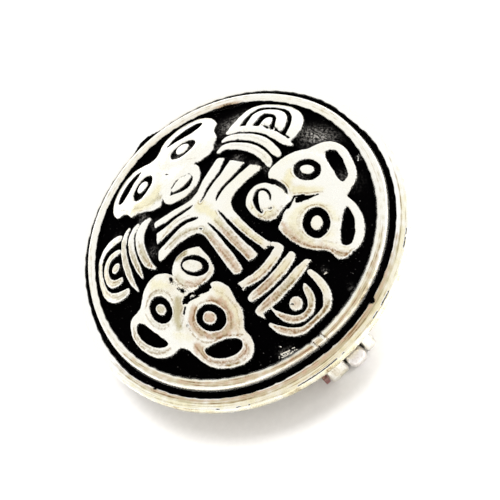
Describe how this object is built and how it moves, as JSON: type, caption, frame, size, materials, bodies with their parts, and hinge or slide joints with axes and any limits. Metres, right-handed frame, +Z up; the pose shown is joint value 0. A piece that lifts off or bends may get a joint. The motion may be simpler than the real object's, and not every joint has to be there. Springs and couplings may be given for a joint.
{
  "type": "disc brooch",
  "caption": "Round domed cast brooch with raised animal-mask ornament on a blackened ground inside a bead ring and sloping rim, with a riveted needle and hook catch behind.",
  "frame": {"origin": "middle of the disc at the height of the table that the brooch lies on", "axes": "+Z up out of the domed front, -Y towards the hinge, +Y towards the catch, +X along the hinge's rivet"},
  "size_m": [0.03, 0.03, 0.0096],
  "materials": {
    "silver": "polished cast silver, warm white, with a blackened ground between the raised parts",
    "needle_silver": "polished silver wire, lightly scratched",
    "rivet_copper": "dull reddish-brown copper wire end"
  },
  "bodies": {
    "brooch": {"disc": "silver", "rivet": "rivet_copper"},
    "needle": {"pin": "needle_silver"}
  },
  "joints": [
    {"name": "pin_hinge", "type": "hinge", "parent": "brooch", "child": "needle", "pos_m": [0.0004, -0.0136, 0.0009], "axis": [-1, 0, 0], "range_deg": [0, 110]}
  ]
}
